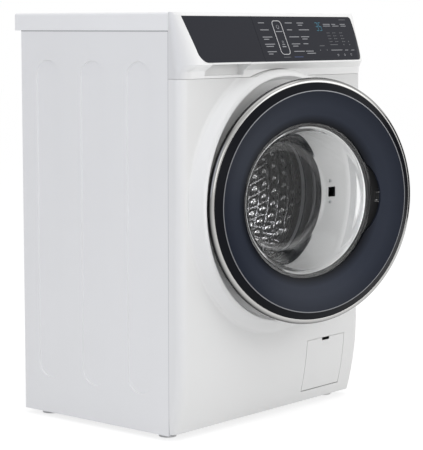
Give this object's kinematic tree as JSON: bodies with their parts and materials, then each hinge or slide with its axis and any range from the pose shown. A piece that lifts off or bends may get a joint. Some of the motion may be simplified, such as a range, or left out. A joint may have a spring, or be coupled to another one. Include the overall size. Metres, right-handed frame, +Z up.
{
  "type": "front-loading washing machine",
  "caption": "Slim free-standing front-loading washing machine with a round glass door standing ajar, a slanted touch panel and a detergent drawer.",
  "frame": {"origin": "on the floor, on the cabinet's middle line, 202.5 mm behind the seam of the front panel", "axes": "+X to the right seen from the front, +Y to the back, +Z up"},
  "size_m": [0.602, 0.6508, 0.85],
  "materials": {
    "white_paint": "smooth white enamel",
    "white_plastic": "smooth white",
    "dark_panel": "smooth charcoal",
    "navy_plastic": "satin navy",
    "chrome": "bright",
    "silver": "satin",
    "door_glass": "clear",
    "seal_rubber": "matte grey",
    "drum_steel": "bright stainless",
    "zinc_steel": "galvanised",
    "grey_plastic": "satin grey",
    "black_plastic": "matte black",
    "cast_metal": "cast",
    "concrete": "rough"
  },
  "bodies": {
    "cabinet": {"left_side_panel": "white_paint", "right_side_panel": "white_paint", "rear_panel": "zinc_steel", "base_tray": "grey_plastic", "top_cover": "white_plastic", "front_panel": "white_paint", "control_fascia": "white_plastic", "touch_panel": "dark_panel", "key_trim": "silver", "control_board": "grey_plastic", "dispenser_housing": "grey_plastic", "transit_caps": "grey_plastic", "cord_gland": "black_plastic", "drain_spigot": "grey_plastic", "water_inlet_valve": "white_plastic", "inlet_hose": "black_plastic", "cabinet_screws": "zinc_steel", "lock_nuts": "zinc_steel", "top_brace": "zinc_steel", "tub_front": "grey_plastic", "tub_rear": "grey_plastic", "door_gasket": "seal_rubber", "front_counterweight": "concrete", "drum_bearings": "drum_steel", "shaft_seal": "seal_rubber", "suspension_springs": "drum_steel", "damper_tubes": "grey_plastic", "damper_rods": "drum_steel", "water_heater": "drum_steel", "drive_motor": "cast_metal", "drive_belt": "black_plastic", "filter_housing": "grey_plastic", "drain_pump": "grey_plastic", "sump_hose": "seal_rubber", "drain_hose": "seal_rubber", "fill_hose": "seal_rubber", "door_lock": "black_plastic", "hinge_bracket": "zinc_steel"},
    "door": {"door_trim": "chrome", "door_cover": "navy_plastic", "accent_ring": "silver", "door_frame": "black_plastic", "door_bowl": "door_glass", "door_hinge": "zinc_steel"},
    "latch": {"latch_hook": "black_plastic"},
    "drum": {"drum_wrapper": "drum_steel", "drum_front": "drum_steel", "drum_back": "drum_steel", "drum_paddles": "drum_steel", "drum_spider": "cast_metal", "drum_pulley": "cast_metal"},
    "motor_rotor": {"motor_pulley": "drum_steel"},
    "drawer": {"drawer_front": "dark_panel", "drawer_tray": "white_plastic"},
    "hatch": {"service_hatch": "white_plastic"},
    "filter": {"drain_filter": "grey_plastic"},
    "foot_fl": {"foot_front_left": "white_plastic"},
    "foot_fr": {"foot_front_right": "white_plastic"},
    "foot_bl": {"foot_back_left": "white_plastic"},
    "foot_br": {"foot_back_right": "white_plastic"}
  },
  "joints": [
    {"name": "door_hinge", "type": "hinge", "parent": "cabinet", "child": "door", "pos_m": [-0.243, -0.2665, 0.468], "axis": [0, 0, -1], "range_deg": [-17.33, 98]},
    {"name": "latch_pivot", "type": "hinge", "parent": "door", "child": "latch", "pos_m": [0.16739, -0.38146, 0.468], "axis": [0, 0, 1], "range_deg": [-8, 8], "stiffness_Nm_per_rad": 0.3},
    {"name": "drum_spin", "type": "hinge", "parent": "cabinet", "child": "drum", "pos_m": [0, 0, 0.468], "axis": [0, 1, 0], "continuous": true},
    {"name": "motor_spin", "type": "hinge", "parent": "cabinet", "child": "motor_rotor", "pos_m": [-0.169, 0.17, 0.17528], "axis": [0, 1, 0], "continuous": true},
    {"name": "drawer_slide", "type": "slide", "parent": "cabinet", "child": "drawer", "axis": [0, -1, 0], "range_m": [0, 0.17]},
    {"name": "hatch_hinge", "type": "hinge", "parent": "cabinet", "child": "hatch", "pos_m": [0.176, -0.216, 0.042], "axis": [1, 0, 0], "range_deg": [0, 85]},
    {"name": "filter_turn", "type": "hinge", "parent": "cabinet", "child": "filter", "pos_m": [0.176, -0.19, 0.09383], "axis": [0, -1, 0], "range_deg": [0, 180]},
    {"name": "foot_turn_fl", "type": "hinge", "parent": "cabinet", "child": "foot_fl", "pos_m": [-0.262, -0.1645, 0.02], "axis": [0, 0, 1], "continuous": true},
    {"name": "foot_turn_fr", "type": "hinge", "parent": "cabinet", "child": "foot_fr", "pos_m": [0.262, -0.1645, 0.02], "axis": [0, 0, 1], "continuous": true},
    {"name": "foot_turn_bl", "type": "hinge", "parent": "cabinet", "child": "foot_bl", "pos_m": [-0.262, 0.1715, 0.02], "axis": [0, 0, 1], "continuous": true},
    {"name": "foot_turn_br", "type": "hinge", "parent": "cabinet", "child": "foot_br", "pos_m": [0.262, 0.1715, 0.02], "axis": [0, 0, 1], "continuous": true}
  ],
  "couplings": [
    {"joint": "motor_spin", "follows": "drum_spin", "ratio": 12.727}
  ]
}
